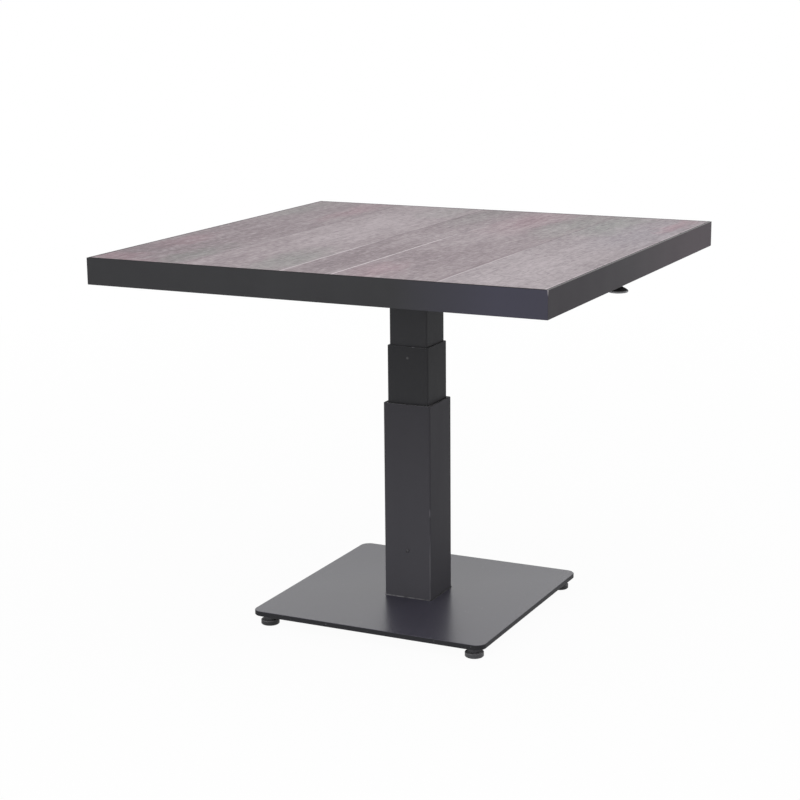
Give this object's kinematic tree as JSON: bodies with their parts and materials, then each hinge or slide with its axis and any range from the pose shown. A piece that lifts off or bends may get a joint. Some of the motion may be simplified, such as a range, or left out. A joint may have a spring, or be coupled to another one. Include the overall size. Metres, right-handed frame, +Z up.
{
  "type": "telescoping pedestal table",
  "caption": "Square pedestal table with a plank-patterned top in a metal frame, on a telescoping square column with a release lever, a flat base plate and levelling feet.",
  "frame": {"origin": "on the floor under the column's centre, at the bottom centre of the bounding box", "axes": "+Z up along the column; +X towards the release lever's knob; +Y from front to back, along the planks"},
  "size_m": [0.9, 0.9, 0.742],
  "materials": {
    "base_coat": "satin",
    "column_coat": "matte",
    "frame_coat": "matte",
    "panel_laminate": "matte",
    "black_plastic": "matte",
    "foot_plastic": "matte",
    "black_rubber": "matte",
    "zinc_steel": "satin",
    "bright_chrome": "polished",
    "black_steel": "satin",
    "cast_alloy": "satin",
    "weld_metal": "satin",
    "knob_plastic": "gloss"
  },
  "bodies": {
    "base": {"base_plate": "base_coat", "foot_bosses": "base_coat", "column_foot_plate": "black_steel", "column_bolts": "zinc_steel", "outer_tube": "column_coat", "foot_bead": "weld_metal", "outer_guide_sleeve": "black_plastic", "stop_screws": "black_steel", "stop_rollers": "black_plastic", "landing_bumper": "black_rubber", "gas_cylinder": "black_steel", "cylinder_gland": "black_plastic"},
    "middle_stage": {"middle_tube": "column_coat", "middle_guide_sleeve": "black_plastic", "middle_lower_sleeve": "black_plastic"},
    "top_stage": {"inner_tube": "column_coat", "inner_lower_sleeve": "black_plastic", "piston": "zinc_steel", "piston_seal": "black_rubber", "piston_rod": "bright_chrome", "rod_bridge": "black_steel", "rod_nuts": "zinc_steel", "mount_plate": "black_steel", "head_bead": "weld_metal", "mount_bolts": "zinc_steel", "mount_washers": "zinc_steel", "weld_nuts": "zinc_steel", "left_support_beam": "frame_coat", "right_support_beam": "frame_coat", "front_frame_bar": "frame_coat", "right_frame_bar": "frame_coat", "back_frame_bar": "frame_coat", "left_frame_bar": "frame_coat", "corner_cleats": "cast_alloy", "top_panel": "panel_laminate", "panel_brackets": "zinc_steel", "panel_screws": "zinc_steel", "bracket_rivets": "cast_alloy", "lever_bracket": "black_steel", "lever_pivot_pin": "zinc_steel", "lever_buffer": "black_rubber"},
    "release_lever": {"lever_rocker": "cast_alloy", "lever_rod": "black_steel", "release_knob": "knob_plastic"},
    "release_pin": {"release_pin": "zinc_steel"},
    "front_left_foot": {"front_left_foot_pad": "foot_plastic", "front_left_foot_stud": "zinc_steel"},
    "front_right_foot": {"front_right_foot_pad": "foot_plastic", "front_right_foot_stud": "zinc_steel"},
    "back_left_foot": {"back_left_foot_pad": "foot_plastic", "back_left_foot_stud": "zinc_steel"},
    "back_right_foot": {"back_right_foot_pad": "foot_plastic", "back_right_foot_stud": "zinc_steel"}
  },
  "joints": [
    {"name": "middle_slide", "type": "slide", "parent": "base", "child": "middle_stage", "axis": [0, 0, 1], "range_m": [-0.1135, 0]},
    {"name": "top_slide", "type": "slide", "parent": "middle_stage", "child": "top_stage", "axis": [0, 0, 1], "range_m": [-0.1545, 0]},
    {"name": "lever_pivot", "type": "hinge", "parent": "top_stage", "child": "release_lever", "pos_m": [0.062, 0, 0.706], "axis": [0, -1, 0], "range_deg": [0, 2.3], "stiffness_Nm_per_rad": 20, "springref_deg": -3.44},
    {"name": "pin_slide", "type": "slide", "parent": "top_stage", "child": "release_pin", "axis": [0, 0, -1], "range_m": [0, 0.0025]},
    {"name": "front_left_foot_screw", "type": "slide", "parent": "base", "child": "front_left_foot", "axis": [0, 0, -1], "range_m": [0, 0.008]},
    {"name": "front_right_foot_screw", "type": "slide", "parent": "base", "child": "front_right_foot", "axis": [0, 0, -1], "range_m": [0, 0.008]},
    {"name": "back_left_foot_screw", "type": "slide", "parent": "base", "child": "back_left_foot", "axis": [0, 0, -1], "range_m": [0, 0.008]},
    {"name": "back_right_foot_screw", "type": "slide", "parent": "base", "child": "back_right_foot", "axis": [0, 0, -1], "range_m": [0, 0.008]}
  ],
  "couplings": [
    {"joint": "pin_slide", "follows": "lever_pivot", "m_per_rad": 0.062}
  ]
}
